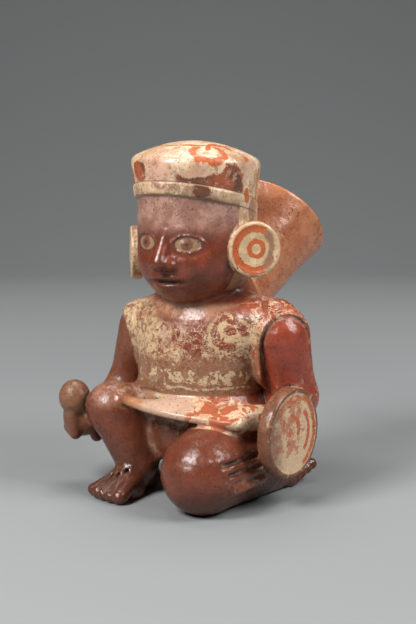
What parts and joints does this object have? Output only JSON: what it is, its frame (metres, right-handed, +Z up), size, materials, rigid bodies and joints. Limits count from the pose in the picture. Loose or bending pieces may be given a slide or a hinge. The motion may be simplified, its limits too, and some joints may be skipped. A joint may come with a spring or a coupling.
{
  "type": "kneeling warrior spout vessel",
  "caption": "Painted clay vessel shaped as a kneeling warrior with mace, round shield and ear discs, hollow, with a wide flared spout behind the head.",
  "frame": {"origin": "middle of the footprint's bounding box, on the ground", "axes": "+Z up, the figure faces -Y, its left hand side is +X"},
  "size_m": [0.1589, 0.1816, 0.219],
  "materials": {
    "painted_clay": "burnished red-brown clay slip with worn cream and orange paint"
  },
  "bodies": {
    "root": {"vessel": "painted_clay"}
  },
  "joints": []
}
